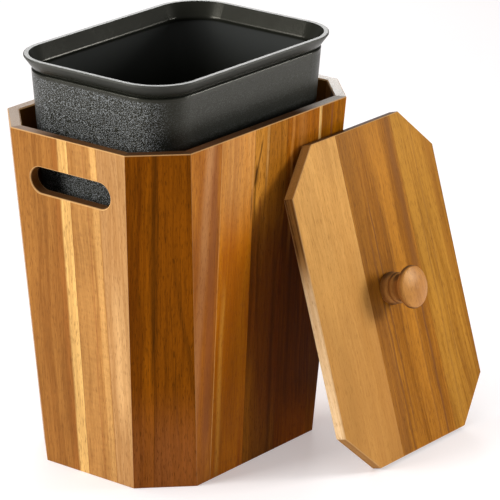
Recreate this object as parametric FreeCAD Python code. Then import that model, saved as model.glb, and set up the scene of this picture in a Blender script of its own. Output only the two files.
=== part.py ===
import FreeCAD, Part
import math
import os

from FreeCAD import Placement, Rotation, Vector

# Case, outside sizes in millimetres
CASE_HEIGHT = 300.0
CASE_TOP_LENGTH = 282.4
CASE_TOP_WIDTH = 198.2
CASE_FOOT_LENGTH = 233.4
CASE_FOOT_WIDTH = 171.6
CORNER_LEG = 37.7
BOARD = 10.0
EDGE_EASE = 1.0

# Glue lines between the staves, as shares of half a side's foot width from its middle
FRONT_JOINTS = (-0.80, -0.247, 0.30, 0.867)
BACK_JOINTS = (-0.70, -0.22, 0.30, 0.74)
FRONT_LEFT_JOINT = -0.355
FRONT_RIGHT_JOINT = 0.12
BACK_RIGHT_JOINT = -0.22
BACK_LEFT_JOINT = 0.28

# Glue lines of the two short sides, as shares of half the hand slot's length, so the slot parts the middle stave
LEFT_JOINTS = (-0.012, 0.72)
RIGHT_JOINTS = (-0.58, 0.18)

# Hand slots in the two short sides
SLOT_LENGTH = 86.0
SLOT_HEIGHT = 23.0
SLOT_DOWN = 41.0
SLOT_EASE = 1.4

# Floor board, flush below, its tongue held in a groove round the case
FLOOR_BOARD = 10.0
FLOOR_TONGUE = 5.0
GROOVE_DEPTH = 4.0
GROOVE_FIT = 0.25

# Inner bin, shown drawn part of the way out of the case
BIN_SIDE_GAP = 2.5
BIN_END_GAP = 9.2
BIN_CORNER_RADIUS = 41.7
BIN_WALL = 2.5
BIN_FOOT_IN = 20.9
BIN_BELOW_TOP = 10.0
BIN_SEAT_GAP = 0.3
BIN_RAISED = 63.0
BIN_FOOT_ROUND = 8.0
BIN_FOOT_RING = 14.0
BIN_FOOT_RISE = 1.5
BIN_RECESS_RADIUS = 6.0

# Rim of the inner bin: a ledge, a drawn-in neck, a flare and a flat lip
LIP_WIDTH = 4.2
LIP_HEIGHT = 1.6
FLARE_HEIGHT = 11.0
FLARE_REACH = 8.0
LEDGE_STEP = 1.6
LEDGE_EASE = 1.0
THROAT_ROUND = 4.0
RIM_EASE = 0.7

# Lid, leaning on the case's front
LID_THICKNESS = 10.0
LID_JOINTS = (-0.29, 0.485)
LID_FOOT_OUT = 92.0
LID_ALONG = 105.0
LEAN_GAP = 0.3

# Battens under the lid, which drop into the case's mouth
BATTEN_INSET = 20.0
BATTEN_WIDTH = 18.0
BATTEN_THICKNESS = 6.0
BATTEN_FIT = 1.5

# Countersunk screws in the battens
BATTEN_SCREW_SPREAD = 96.0
BATTEN_SCREW_DIAMETER = 3.0
BATTEN_SCREW_HEAD = 6.0
BATTEN_SCREW_LENGTH = 11.0

# Turned knob and its screw
KNOB_HEIGHT = 30.0
KNOB_HEAD_DIAMETER = 37.0
KNOB_FOOT_DIAMETER = 28.4
KNOB_NECK_DIAMETER = 22.8
KNOB_BEAD_DIAMETER = 26.8
KNOB_SCREW_DIAMETER = 4.0
KNOB_SCREW_HEAD = 8.0
KNOB_SCREW_HEAD_HEIGHT = 2.6
KNOB_SCREW_LENGTH = 26.0

# Room between a screw and its hole, all round
SCREW_FIT = 0.1

# How far a cutting shape passes a face that it leaves by
PAST = 5.0

# The case's sides in order, going round from the front
SIDE_NAMES = (
    "front",
    "front_right",
    "right",
    "back_right",
    "back",
    "back_left",
    "left",
    "front_left",
)
SIDE_JOINTS = {
    "front": FRONT_JOINTS,
    "front_right": (FRONT_RIGHT_JOINT,),
    "right": RIGHT_JOINTS,
    "back_right": (BACK_RIGHT_JOINT,),
    "back": BACK_JOINTS,
    "back_left": (BACK_LEFT_JOINT,),
    "left": LEFT_JOINTS,
    "front_left": (FRONT_LEFT_JOINT,),
}
SLOTTED_SIDES = ("left", "right")


def clipped_rectangle(half_x, half_y, leg, height):
    """Eight corners of a rectangle with clipped corners, anticlockwise from the front edge's left end."""
    return [
        Vector(leg - half_x, -half_y, height),
        Vector(half_x - leg, -half_y, height),
        Vector(half_x, leg - half_y, height),
        Vector(half_x, half_y - leg, height),
        Vector(half_x - leg, half_y, height),
        Vector(leg - half_x, half_y, height),
        Vector(-half_x, half_y - leg, height),
        Vector(-half_x, leg - half_y, height),
    ]


def solid_between(lower, upper):
    """A flat-faced solid between two rings of matching points, both anticlockwise seen from above."""
    count = len(lower)
    rings = [list(reversed(lower)), list(upper)]
    for i in range(count):
        j = (i + 1) % count
        rings.append([lower[i], lower[j], upper[j], upper[i]])
    faces = [Part.Face(Part.makePolygon(ring + ring[:1])) for ring in rings]
    shell = Part.Shell(faces)
    shell.sewShape()
    return Part.Solid(shell)


def upright_prism(points, low, high):
    """The straight prism over a flat ring of points, between two heights."""
    lower = [Vector(p.x, p.y, low) for p in points]
    upper = [Vector(p.x, p.y, high) for p in points]
    return solid_between(lower, upper)


def rounded_ring(half_x, half_y, radius, height):
    """A closed outline of straight sides and round corners, level at the given height."""
    centres = (
        (half_x - radius, radius - half_y, -90.0),
        (half_x - radius, half_y - radius, 0.0),
        (radius - half_x, half_y - radius, 90.0),
        (radius - half_x, radius - half_y, 180.0),
    )
    edges = []
    last_end = None
    for x, y, turn in centres:
        arc = Part.makeCircle(radius, Vector(x, y, height), Vector(0, 0, 1), turn, turn + 90.0)
        start = arc.valueAt(arc.FirstParameter)
        if last_end is not None and last_end.distanceToPoint(start) > 1e-6:
            edges.append(Part.makeLine(last_end, start))
        edges.append(arc)
        last_end = arc.valueAt(arc.LastParameter)
    first = edges[0].valueAt(edges[0].FirstParameter)
    if last_end.distanceToPoint(first) > 1e-6:
        edges.append(Part.makeLine(last_end, first))
    return Part.Wire(edges)


def one_solid(shape):
    """The single solid that a cut or a join has left."""
    solids = shape.removeSplitter().Solids
    if len(solids) != 1:
        raise ValueError("expected one solid, found %d" % len(solids))
    return solids[0]


class Side:
    """One flat side of the case: the frame of its outer face, from the middle of its foot edge."""

    def __init__(self, foot_start, foot_end, top_start):
        self.foot_half = (foot_end - foot_start).Length / 2.0
        self.middle = (foot_start + foot_end) * 0.5
        self.along = (foot_end - foot_start).normalize()
        self.normal = self.along.cross(top_start - foot_start).normalize()
        self.up = self.normal.cross(self.along)
        self.slant_height = CASE_HEIGHT / self.up.z

    def placement(self):
        """From the side's own frame (along, up, outwards) to the case's."""
        return Placement(self.middle, Rotation(self.along, self.up, self.normal, "XYZ"))

    def slab(self, start, end):
        """A slab square to the side, between two distances along it, passing all its other faces."""
        box = Part.makeBox(
            end - start,
            self.slant_height + 2 * PAST,
            BOARD + 2 * PAST,
            Vector(start, -PAST, -BOARD - PAST),
        )
        box.Placement = self.placement()
        return box


def case_sides():
    """The eight sides of the case, from its foot outline and its top outline."""
    foot = clipped_rectangle(CASE_FOOT_LENGTH / 2, CASE_FOOT_WIDTH / 2, CORNER_LEG, 0.0)
    top = clipped_rectangle(CASE_TOP_LENGTH / 2, CASE_TOP_WIDTH / 2, CORNER_LEG, CASE_HEIGHT)
    return [Side(foot[i], foot[(i + 1) % 8], top[i]) for i in range(8)]


SIDES = case_sides()


def section(height, depth):
    """The case's eight corners at a height, with every side set in square to itself by a depth."""
    corners = []
    for i, side in enumerate(SIDES):
        before = SIDES[i - 1]
        reach_a = before.normal.dot(before.middle) - depth - before.normal.z * height
        reach_b = side.normal.dot(side.middle) - depth - side.normal.z * height
        spread = before.normal.x * side.normal.y - before.normal.y * side.normal.x
        x = (reach_a * side.normal.y - before.normal.y * reach_b) / spread
        y = (before.normal.x * reach_b - reach_a * side.normal.x) / spread
        corners.append(Vector(x, y, height))
    return corners


def extent(points):
    """Half length and half width of a ring of points about the middle."""
    return max(p.x for p in points), max(p.y for p in points)


def is_at(edge, height):
    """Whether an edge lies level at a height."""
    return all(abs(v.Z - height) < 1e-6 for v in edge.Vertexes)


def case_ring():
    """The whole case wall before it is cut into staves, with its edges eased and its floor groove."""
    outside = solid_between(section(0.0, 0.0), section(CASE_HEIGHT, 0.0))
    upright = [e for e in outside.Edges if e.Vertexes[0].Z != e.Vertexes[1].Z]
    top_edges = [e for e in outside.Edges if is_at(e, CASE_HEIGHT)]
    outside = outside.makeFillet(EDGE_EASE, upright + top_edges)
    inside = solid_between(section(-PAST, BOARD), section(CASE_HEIGHT + PAST, BOARD))
    mouth = solid_between(
        section(CASE_HEIGHT - EDGE_EASE, BOARD),
        section(CASE_HEIGHT, BOARD - EDGE_EASE),
    )
    groove = upright_prism(
        section(FLOOR_BOARD - FLOOR_TONGUE, BOARD - GROOVE_DEPTH),
        FLOOR_BOARD - FLOOR_TONGUE,
        FLOOR_BOARD + GROOVE_FIT,
    )
    return outside.cut(inside).cut(mouth).cut(groove)


def mitred_wedge(index):
    """The space that one side fills between its two mitre planes, passing its faces."""
    after = (index + 1) % 8
    rings = []
    for height in (-PAST, CASE_HEIGHT + PAST):
        outer = section(height, -PAST)
        inner = section(height, BOARD + PAST)
        rings.append([outer[index], outer[after], inner[after], inner[index]])
    return solid_between(rings[0], rings[1])


def hand_slot(side):
    """The round-ended slot through a short side, in place."""
    outline = rounded_ring(SLOT_LENGTH / 2, SLOT_HEIGHT / 2, SLOT_HEIGHT / 2, -BOARD - PAST)
    slot = Part.Face(outline).extrude(Vector(0, 0, BOARD + 2 * PAST))
    slot.translate(Vector(0, side.slant_height - SLOT_DOWN, 0))
    slot.Placement = side.placement().multiply(slot.Placement)
    return slot


def cut_slot(panel, side):
    """A short side with its hand slot, the slot's edges rounded inside and out."""
    panel = one_solid(panel.cut(hand_slot(side)))
    to_side = side.placement().inverse()
    edges = []
    for edge in panel.Edges:
        middle = to_side.multVec(edge.valueAt((edge.FirstParameter + edge.LastParameter) / 2))
        near_slot = abs(middle.y - side.slant_height + SLOT_DOWN) < SLOT_HEIGHT / 2 + 1e-3
        near_slot = near_slot and abs(middle.x) < SLOT_LENGTH / 2 + 1e-3
        on_face = min(abs(middle.z), abs(middle.z + BOARD)) < 1e-3
        if near_slot and on_face:
            edges.append(edge)
    return panel.makeFillet(SLOT_EASE, edges)


def case_staves():
    """Every stave of the case by name. A slot parts the stave that it crosses, so each part is its own piece."""
    ring = case_ring()
    staves = {}
    for index, name in enumerate(SIDE_NAMES):
        side = SIDES[index]
        panel = one_solid(ring.common(mitred_wedge(index)))
        if name in SLOTTED_SIDES:
            panel = cut_slot(panel, side)
        widest = CASE_TOP_LENGTH
        reach = SLOT_LENGTH / 2 if name in SLOTTED_SIDES else side.foot_half
        lines = [-widest] + [share * reach for share in SIDE_JOINTS[name]] + [widest]
        for number in range(1, len(lines)):
            pieces = panel.common(side.slab(lines[number - 1], lines[number])).Solids
            pieces.sort(key=lambda piece: piece.CenterOfMass.z)
            stave = "%s_stave_%d" % (name, number)
            if len(pieces) == 1:
                staves[stave] = pieces[0]
            else:
                staves[stave + "_below_slot"] = pieces[0]
                staves[stave + "_above_slot"] = pieces[1]
    return staves


def floor_board():
    """The floor, flush with the case's foot, with a tongue all round that sits in the groove."""
    tongue_low = FLOOR_BOARD - FLOOR_TONGUE
    body = upright_prism(section(0.0, BOARD + GROOVE_FIT), 0.0, FLOOR_BOARD)
    tongue_ring = section(tongue_low, BOARD - GROOVE_DEPTH + GROOVE_FIT)
    tongue = upright_prism(tongue_ring, tongue_low, FLOOR_BOARD)
    return one_solid(body.fuse(tongue))


def ring_loft(rings):
    """A straight-walled solid through level rounded outlines, each given as half sizes, radius and height."""
    wires = [rounded_ring(*ring) for ring in rings]
    return Part.makeLoft(wires, True, True)


def level_edges(shape, height):
    """Edges of a shape that lie level at a height."""
    return [e for e in shape.Edges if is_at(e, height)]


def inner_bin():
    """The plastic bin: a drafted tub with a ledge, a neck, a flared rim and a flat lip."""
    mouth_x, mouth_y = extent(section(CASE_HEIGHT, BOARD))
    rim_x = mouth_x - BIN_END_GAP
    rim_y = mouth_y - BIN_SIDE_GAP
    height = CASE_HEIGHT - BIN_BELOW_TOP - FLOOR_BOARD - BIN_SEAT_GAP
    flare_top = height - LIP_HEIGHT
    ledge = flare_top - FLARE_HEIGHT
    taper = BIN_FOOT_IN / ledge

    def ring(inset, level):
        return (rim_x - inset, rim_y - inset, BIN_CORNER_RADIUS - inset, level)

    def wall_ring(inset, level):
        return ring(FLARE_REACH - LEDGE_STEP + inset + taper * (ledge - level), level)

    shell = ring_loft([wall_ring(0.0, 0.0), wall_ring(0.0, ledge)])
    shell = shell.makeFillet(BIN_FOOT_ROUND, level_edges(shell, 0.0))
    shell = shell.makeFillet(LEDGE_EASE, level_edges(shell, ledge))
    flare = ring_loft([ring(FLARE_REACH, ledge - BIN_WALL), ring(FLARE_REACH, ledge), ring(0.0, flare_top)])
    lip = ring_loft([ring(0.0, flare_top), ring(0.0, height)])
    lip = lip.makeFillet(RIM_EASE, level_edges(lip, height))
    outside = shell.fuse(flare).fuse(lip)

    hollow_top = ledge - BIN_WALL
    hollow = ring_loft([wall_ring(BIN_WALL, BIN_WALL), wall_ring(BIN_WALL, hollow_top)])
    hollow = hollow.makeFillet(BIN_FOOT_ROUND - BIN_WALL, level_edges(hollow, BIN_WALL))
    throat_inset = FLARE_REACH + BIN_WALL
    throat = ring_loft([ring(throat_inset, hollow_top), ring(throat_inset, ledge), ring(LIP_WIDTH, height)])
    throat = throat.makeFillet(THROAT_ROUND, level_edges(throat, ledge))
    inside = hollow.fuse(throat)
    recess_x, recess_y = wall_ring(BIN_FOOT_RING, 0.0)[:2]
    recess_size = (recess_x, recess_y, BIN_RECESS_RADIUS)
    recess = ring_loft([recess_size + (0.0,), recess_size + (BIN_FOOT_RISE,)])
    body = one_solid(outside.cut(inside).cut(recess))
    body.translate(Vector(0, 0, FLOOR_BOARD + BIN_SEAT_GAP + BIN_RAISED))
    return body


def cone_screw(diameter, head, length):
    """A countersunk screw standing on its flat head, its blunt end up."""
    r = diameter / 2
    sink = (head - diameter) / 2
    outline = [
        Vector(0, 0, 0),
        Vector(head / 2, 0, 0),
        Vector(r, 0, sink),
        Vector(r, 0, length - r),
        Vector(r / 2, 0, length),
        Vector(0, 0, length),
    ]
    face = Part.Face(Part.makePolygon(outline + outline[:1]))
    return face.revolve(Vector(0, 0, 0), Vector(0, 0, 1), 360.0)


def cross_recess(span, arm, depth):
    """A cross-shaped recess to drive a screw by, opening downwards at height zero."""
    bars = [
        Part.makeBox(span, arm, depth + PAST, Vector(-span / 2, -arm / 2, -PAST)),
        Part.makeBox(arm, span, depth + PAST, Vector(-arm / 2, -span / 2, -PAST)),
    ]
    return bars[0].fuse(bars[1])


def knob_screw():
    """A pan-headed screw standing head down, the underside of its head at height zero."""
    r = KNOB_SCREW_DIAMETER / 2
    head = Part.makeCylinder(KNOB_SCREW_HEAD / 2, KNOB_SCREW_HEAD_HEIGHT, Vector(0, 0, -KNOB_SCREW_HEAD_HEIGHT))
    head = head.makeFillet(KNOB_SCREW_HEAD_HEIGHT * 0.45, level_edges(head, -KNOB_SCREW_HEAD_HEIGHT))
    outline = [
        Vector(0, 0, -KNOB_SCREW_HEAD_HEIGHT / 2),
        Vector(r, 0, -KNOB_SCREW_HEAD_HEIGHT / 2),
        Vector(r, 0, KNOB_SCREW_LENGTH - KNOB_SCREW_DIAMETER),
        Vector(r / 3, 0, KNOB_SCREW_LENGTH),
        Vector(0, 0, KNOB_SCREW_LENGTH),
    ]
    face = Part.Face(Part.makePolygon(outline + outline[:1]))
    shank = face.revolve(Vector(0, 0, 0), Vector(0, 0, 1), 360.0)
    recess = cross_recess(KNOB_SCREW_HEAD * 0.5, KNOB_SCREW_HEAD * 0.12, KNOB_SCREW_HEAD_HEIGHT * 0.5)
    recess.translate(Vector(0, 0, -KNOB_SCREW_HEAD_HEIGHT))
    return one_solid(head.fuse(shank).cut(recess))


def knob():
    """The turned knob standing on height zero: foot bead, small bead, cove and a domed head."""
    h = KNOB_HEIGHT
    foot = KNOB_FOOT_DIAMETER / 2
    bead = KNOB_BEAD_DIAMETER / 2
    neck = KNOB_NECK_DIAMETER / 2
    head = KNOB_HEAD_DIAMETER / 2

    def at(radius, share):
        return Vector(radius, 0, share * h)

    groove = bead * 0.91
    brow = at(head * 0.91, 0.915)
    rise = h - brow.z
    dome = (brow.x ** 2 + rise ** 2) / (2 * rise)
    half_turn = math.asin(brow.x / dome) / 2
    crown = Vector(dome * math.sin(half_turn), 0, h - dome + dome * math.cos(half_turn))
    arcs = [
        (at(foot * 0.93, 0.0), at(foot, 0.12), at(groove, 0.25)),
        (at(groove, 0.265), at(bead, 0.335), at(groove * 0.97, 0.40)),
        (at(groove * 0.97, 0.40), at(neck, 0.53), at(head * 0.89, 0.72)),
        (at(head * 0.89, 0.72), at(head, 0.81), brow),
        (brow, crown, at(0.0, 1.0)),
    ]
    edges = [Part.makeLine(Vector(0, 0, 0), arcs[0][0])]
    for number, (start, middle, end) in enumerate(arcs):
        if number and start.distanceToPoint(arcs[number - 1][2]) > 1e-6:
            edges.append(Part.makeLine(arcs[number - 1][2], start))
        edges.append(Part.Arc(start, middle, end).toShape())
    edges.append(Part.makeLine(arcs[-1][2], Vector(0, 0, 0)))
    body = Part.Face(Part.Wire(edges)).revolve(Vector(0, 0, 0), Vector(0, 0, 1), 360.0)
    pilot_depth = KNOB_SCREW_LENGTH - LID_THICKNESS + 1.0
    pilot = Part.makeCylinder(KNOB_SCREW_DIAMETER / 2 + SCREW_FIT, pilot_depth + PAST, Vector(0, 0, -PAST))
    return one_solid(body.cut(pilot))


def lid_pieces():
    """Every piece of the lid, in the lid's frame: across, along, and up from its underside."""
    half_x = CASE_TOP_WIDTH / 2
    half_y = CASE_TOP_LENGTH / 2
    outline = clipped_rectangle(half_x, half_y, CORNER_LEG, 0.0)
    board = upright_prism(outline, 0.0, LID_THICKNESS)
    board = board.makeFillet(EDGE_EASE, board.Edges)
    screw_hole = Part.makeCylinder(
        KNOB_SCREW_DIAMETER / 2 + SCREW_FIT,
        LID_THICKNESS + 2 * PAST,
        Vector(0, 0, -PAST),
    )
    board = board.cut(screw_hole)

    # Two battens shaped to the case's mouth, and a screw near each end of both
    mouth_y, mouth_x = extent(section(CASE_HEIGHT, BOARD + BATTEN_FIT))
    mouth_leg = mouth_x - section(CASE_HEIGHT, BOARD + BATTEN_FIT)[3].y
    mouth = upright_prism(clipped_rectangle(mouth_x, mouth_y, mouth_leg, 0.0), -BATTEN_THICKNESS, 0.0)
    battens = []
    screws = []
    for end in (-1, 1):
        low = min(end * (half_y - BATTEN_INSET), end * (half_y - BATTEN_INSET - BATTEN_WIDTH))
        strip = Part.makeBox(
            2 * half_x,
            BATTEN_WIDTH,
            BATTEN_THICKNESS,
            Vector(-half_x, low, -BATTEN_THICKNESS),
        )
        batten = one_solid(strip.common(mouth))
        for side in (-1, 1):
            spot = Vector(side * BATTEN_SCREW_SPREAD / 2, low + BATTEN_WIDTH / 2, -BATTEN_THICKNESS)
            screw = cone_screw(BATTEN_SCREW_DIAMETER, BATTEN_SCREW_HEAD, BATTEN_SCREW_LENGTH)
            recess = cross_recess(BATTEN_SCREW_HEAD * 0.55, BATTEN_SCREW_HEAD * 0.14, BATTEN_SCREW_HEAD * 0.16)
            screw = one_solid(screw.cut(recess))
            hole = cone_screw(
                BATTEN_SCREW_DIAMETER + 2 * SCREW_FIT,
                BATTEN_SCREW_HEAD + 2 * SCREW_FIT,
                BATTEN_SCREW_LENGTH + 2 * SCREW_FIT,
            )
            screw.translate(spot)
            hole.translate(spot)
            screws.append(screw)
            batten = batten.cut(hole)
            board = board.cut(hole)
        battens.append(one_solid(batten))

    pieces = {}
    lines = [-half_x - PAST] + [share * half_x for share in LID_JOINTS] + [half_x + PAST]
    for number in range(1, len(lines)):
        slab = Part.makeBox(
            lines[number] - lines[number - 1],
            CASE_TOP_LENGTH + 2 * PAST,
            LID_THICKNESS + 2 * PAST,
            Vector(lines[number - 1], -half_y - PAST, -PAST),
        )
        pieces["lid_stave_%d" % number] = one_solid(board.common(slab))
    pieces["lid_batten_lower"] = battens[0]
    pieces["lid_batten_upper"] = battens[1]
    pieces["lid_batten_screws"] = Part.makeCompound(screws)
    grip = knob()
    grip.translate(Vector(0, 0, LID_THICKNESS))
    pieces["lid_knob"] = grip
    pieces["lid_knob_screw"] = knob_screw()
    return pieces


def lid_lean():
    """Where the lid's underside middle goes, and its lean from upright.

    The rounded lower back edge stands on the floor and the upper one stops a hair off the case's front.
    """
    front = SIDES[0]
    slope = math.atan2(-front.up.y, front.up.z)
    round_span = CASE_TOP_LENGTH - 2 * EDGE_EASE
    reach = LID_FOOT_OUT * math.cos(slope) - EDGE_EASE * math.sin(slope) - EDGE_EASE - LEAN_GAP
    lean = math.asin(reach / round_span) - slope
    along = Vector(0, math.sin(lean), math.cos(lean))
    outward = Vector(0, -math.cos(lean), math.sin(lean))
    foot_axis = Vector(LID_ALONG, -CASE_FOOT_WIDTH / 2 - LID_FOOT_OUT, EDGE_EASE)
    middle = foot_axis + along * (round_span / 2) - outward * EDGE_EASE
    return Placement(middle, Rotation(Vector(1, 0, 0), along, outward, "XYZ"))


def main():
    """Build every piece in place and write each to its own file."""
    os.makedirs("parts", exist_ok=True)
    pieces = case_staves()
    pieces["floor_board"] = floor_board()
    pieces["inner_bin"] = inner_bin()
    lean = lid_lean()
    for name, shape in lid_pieces().items():
        shape.Placement = lean.multiply(shape.Placement)
        pieces[name] = shape
    for name, shape in pieces.items():
        shape.exportStep("parts/%s.step" % name)


main()
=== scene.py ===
import logging
import math
from dataclasses import dataclass, field, replace
from enum import Enum

import bmesh
import bpy
from mathutils import Euler, Matrix, Vector


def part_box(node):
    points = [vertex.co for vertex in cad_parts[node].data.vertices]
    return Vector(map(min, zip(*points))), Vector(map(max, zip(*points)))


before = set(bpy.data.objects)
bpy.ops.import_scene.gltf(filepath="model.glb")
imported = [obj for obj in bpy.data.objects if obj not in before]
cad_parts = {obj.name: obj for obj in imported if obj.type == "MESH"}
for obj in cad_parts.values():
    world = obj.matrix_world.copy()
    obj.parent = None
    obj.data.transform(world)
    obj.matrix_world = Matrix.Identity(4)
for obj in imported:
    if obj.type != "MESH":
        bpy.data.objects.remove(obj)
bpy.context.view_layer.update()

LOG = logging.getLogger("trash_can")
MM = 0.001

Colour = tuple[float, float, float]
Span = tuple[float, float]
Socket = bpy.types.NodeSocket
Value = Socket | float

# The noise's middle level, how a seed moves its pattern, and how rough its finer layers are
NOISE_MEAN = 0.5
SEED_STEPS = (3.17, 1.71, 2.39)
SEED_STARTS = (0.0, 9.0, -4.0)
NOISE_ROUGHNESS = 0.55

# The mix node's own numbers for its two colours and for their mix
MIX_FIRST = 6
MIX_SECOND = 7
MIX_RESULT = 2


@dataclass(frozen=True)
class Lumps:
    """One layer of cloudy noise.

    The size is that of its lumps across, along and through, in the unit of the place it is drawn at.
    The step can sharpen it, and the weight says how much it counts.
    """

    size: tuple[float, float, float]
    seed: float
    detail: float = 2.0
    step: Span = (0.0, 1.0)
    weight: float = 1.0


class Grain(Enum):
    """The layers of noise that make up the wood's figure. Sizes are in millimetres."""

    FINE = Lumps((2.4, 190.0, 1.0), 3.0, 2.0, (0.30, 0.70), 0.28)
    FIBRE = Lumps((0.9, 34.0, 0.9), 5.0, 2.0, (0.32, 0.68), 0.20)
    HAIR = Lumps((0.35, 15.0, 0.35), 7.0, 1.0, (0.30, 0.70), 0.12)
    PORES = Lumps((0.6, 7.0, 0.6), 11.0, 1.0, (0.57, 0.67), 0.50)
    CURL = Lumps((9.0, 2.6, 9.0), 13.0, 1.0, weight=2.0)
    CLOUD = Lumps((34.0, 75.0, 34.0), 17.0, 1.0, weight=0.35)
    SLOW_SHIFT = Lumps((48.0, 170.0, 48.0), 19.0, weight=20.0)
    QUICK_SHIFT = Lumps((9.0, 55.0, 9.0), 23.0, weight=3.0)
    VEIN = Lumps((6.5, 260.0, 1.0), 29.0)
    VEIN_FADING = Lumps((16.0, 120.0, 1.0), 31.0, step=(0.42, 0.62))
    SWAY = Lumps((200.0, 70.0, 200.0), 37.0, weight=4.0)
    END_DOTS = Lumps((0.45, 40.0, 0.45), 41.0, 1.0, (0.55, 0.68), 0.5)


class Sheet:
    """One material's node tree, with short calls for the nodes that the finishes use."""

    def __init__(self, name: str) -> None:
        """Start an empty material.

        Args:
            name: The material's name.
        """
        self.material = bpy.data.materials.new(name)
        self.material.use_nodes = True
        self.tree = self.material.node_tree
        self.tree.nodes.clear()
        self.output = self.node("ShaderNodeOutputMaterial")
        coordinates = self.node("ShaderNodeTexCoord")
        self.place = coordinates.outputs["Object"]
        self.normal = coordinates.outputs["Normal"]

    def node(self, kind: str, **settings: object) -> bpy.types.Node:
        """Add a node.

        Args:
            kind: The node's type name.
            settings: Properties to set on it.

        Returns:
            The new node.
        """
        made = self.tree.nodes.new(kind)
        for key, value in settings.items():
            setattr(made, key, value)
        return made

    def feed(self, socket: Socket, value: object) -> None:
        """Link a socket to another, or set it to a plain value.

        Args:
            socket: The input to fill.
            value: An output socket, a number, or a colour or vector.
        """
        if isinstance(value, bpy.types.NodeSocket):
            self.tree.links.new(value, socket)
        elif isinstance(value, tuple) and socket.type == "RGBA":
            socket.default_value = (*value, 1.0)
        else:
            socket.default_value = value

    def calc(self, operation: str, first: Value, second: Value = 0.0) -> Socket:
        """One step of arithmetic.

        Args:
            operation: The math node's operation.
            first: The first number.
            second: The second number, if the operation has one.

        Returns:
            The result's socket.
        """
        made = self.node("ShaderNodeMath", operation=operation)
        self.feed(made.inputs[0], first)
        self.feed(made.inputs[1], second)
        return made.outputs[0]

    def plus(self, first: Value, second: Value) -> Socket:
        """Add two numbers."""
        return self.calc("ADD", first, second)

    def minus(self, first: Value, second: Value) -> Socket:
        """Take the second number from the first."""
        return self.calc("SUBTRACT", first, second)

    def times(self, first: Value, second: Value) -> Socket:
        """Multiply two numbers."""
        return self.calc("MULTIPLY", first, second)

    def unsigned(self, number: Value) -> Socket:
        """A number without its sign."""
        return self.calc("ABSOLUTE", number)

    def length(self, side: Socket, rise: Socket) -> Socket:
        """The length of a line from how far it runs sideways and how far it rises."""
        return self.calc("SQRT", self.plus(self.times(side, side), self.times(rise, rise)))

    def blend(self, share: Value, first: object, second: object, mode: str = "MIX") -> Socket:
        """Mix two colours.

        Args:
            share: How much of the second colour, from 0 to 1.
            first: The first colour.
            second: The second colour.
            mode: The mix node's blend type.

        Returns:
            The mixed colour's socket.
        """
        made = self.node("ShaderNodeMix", data_type="RGBA", blend_type=mode, clamp_factor=True)
        self.feed(made.inputs["Factor"], share)
        self.feed(made.inputs[MIX_FIRST], first)
        self.feed(made.inputs[MIX_SECOND], second)
        return made.outputs[MIX_RESULT]

    def ramp(self, value: Value, step: Span, start: float = 0.0, end: float = 1.0) -> Socket:
        """A smooth step.

        Args:
            value: The number to read.
            step: Where the step begins and ends.
            start: The result before the step.
            end: The result after it.

        Returns:
            The stepped number's socket.
        """
        made = self.node("ShaderNodeMapRange", interpolation_type="SMOOTHSTEP", clamp=True)
        self.feed(made.inputs["Value"], value)
        for name, number in zip(("From Min", "From Max", "To Min", "To Max"), (*step, start, end)):
            made.inputs[name].default_value = number
        return made.outputs["Result"]

    def fall(self, value: Value, step: Span, start: float = 1.0) -> Socket:
        """A smooth step down to nothing."""
        return self.ramp(value, step, start, 0.0)

    def join(self, x: Value, y: Value, z: Value) -> Socket:
        """Join three numbers into a vector.

        Args:
            x: The first number.
            y: The second number.
            z: The third number.

        Returns:
            The vector's socket.
        """
        made = self.node("ShaderNodeCombineXYZ")
        for socket, value in zip(made.inputs, (x, y, z)):
            self.feed(socket, value)
        return made.outputs[0]

    def split(self, vector: Socket) -> tuple[Socket, ...]:
        """Part a vector into its three numbers.

        Args:
            vector: The vector.

        Returns:
            The three numbers' sockets.
        """
        made = self.node("ShaderNodeSeparateXYZ")
        self.feed(made.inputs[0], vector)
        return tuple(made.outputs)

    def millimetres(self) -> Socket:
        """The place on the model in millimetres.

        Returns:
            The place's socket.
        """
        made = self.node("ShaderNodeVectorMath", operation="SCALE")
        self.feed(made.inputs[0], self.place)
        made.inputs["Scale"].default_value = 1.0 / MM
        return made.outputs[0]

    def facing(self, direction: Socket | Vector) -> Socket:
        """How far the surface is turned to a direction.

        Args:
            direction: The direction.

        Returns:
            The socket of the product of the direction and the surface's normal.
        """
        made = self.node("ShaderNodeVectorMath", operation="DOT_PRODUCT")
        self.feed(made.inputs[0], self.normal)
        self.feed(made.inputs[1], direction)
        return made.outputs["Value"]

    def noise(self, place: Socket, lumps: Lumps, seed: float = 0.0) -> Socket:
        """Cloudy noise whose lumps have a set size in each direction.

        Args:
            place: The place to draw it at.
            lumps: The layer of noise.
            seed: A number added to the layer's own seed.

        Returns:
            The noise's socket, about 0 to 1 with a mean of a half.
        """
        moved = lumps.seed + seed
        scaled = self.node("ShaderNodeVectorMath", operation="MULTIPLY_ADD")
        self.feed(scaled.inputs[0], place)
        scaled.inputs[1].default_value = tuple(1.0 / s for s in lumps.size)
        scaled.inputs[2].default_value = tuple(moved * a + b for a, b in zip(SEED_STEPS, SEED_STARTS))
        made = self.node("ShaderNodeTexNoise", noise_dimensions="3D")
        self.feed(made.inputs["Vector"], scaled.outputs[0])
        made.inputs["Scale"].default_value = 1.0
        made.inputs["Detail"].default_value = lumps.detail
        made.inputs["Roughness"].default_value = NOISE_ROUGHNESS
        return made.outputs["Fac"]

    def bump(self, height: Socket, depth: float, strength: float) -> Socket:
        """A fine relief.

        Args:
            height: The relief's height, from 0 to 1.
            depth: How deep a height of 1 is, in millimetres.
            strength: The bump node's strength.

        Returns:
            The normal's socket.
        """
        made = self.node("ShaderNodeBump")
        made.inputs["Strength"].default_value = strength
        made.inputs["Distance"].default_value = depth * MM
        self.feed(made.inputs["Height"], height)
        return made.outputs["Normal"]

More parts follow.
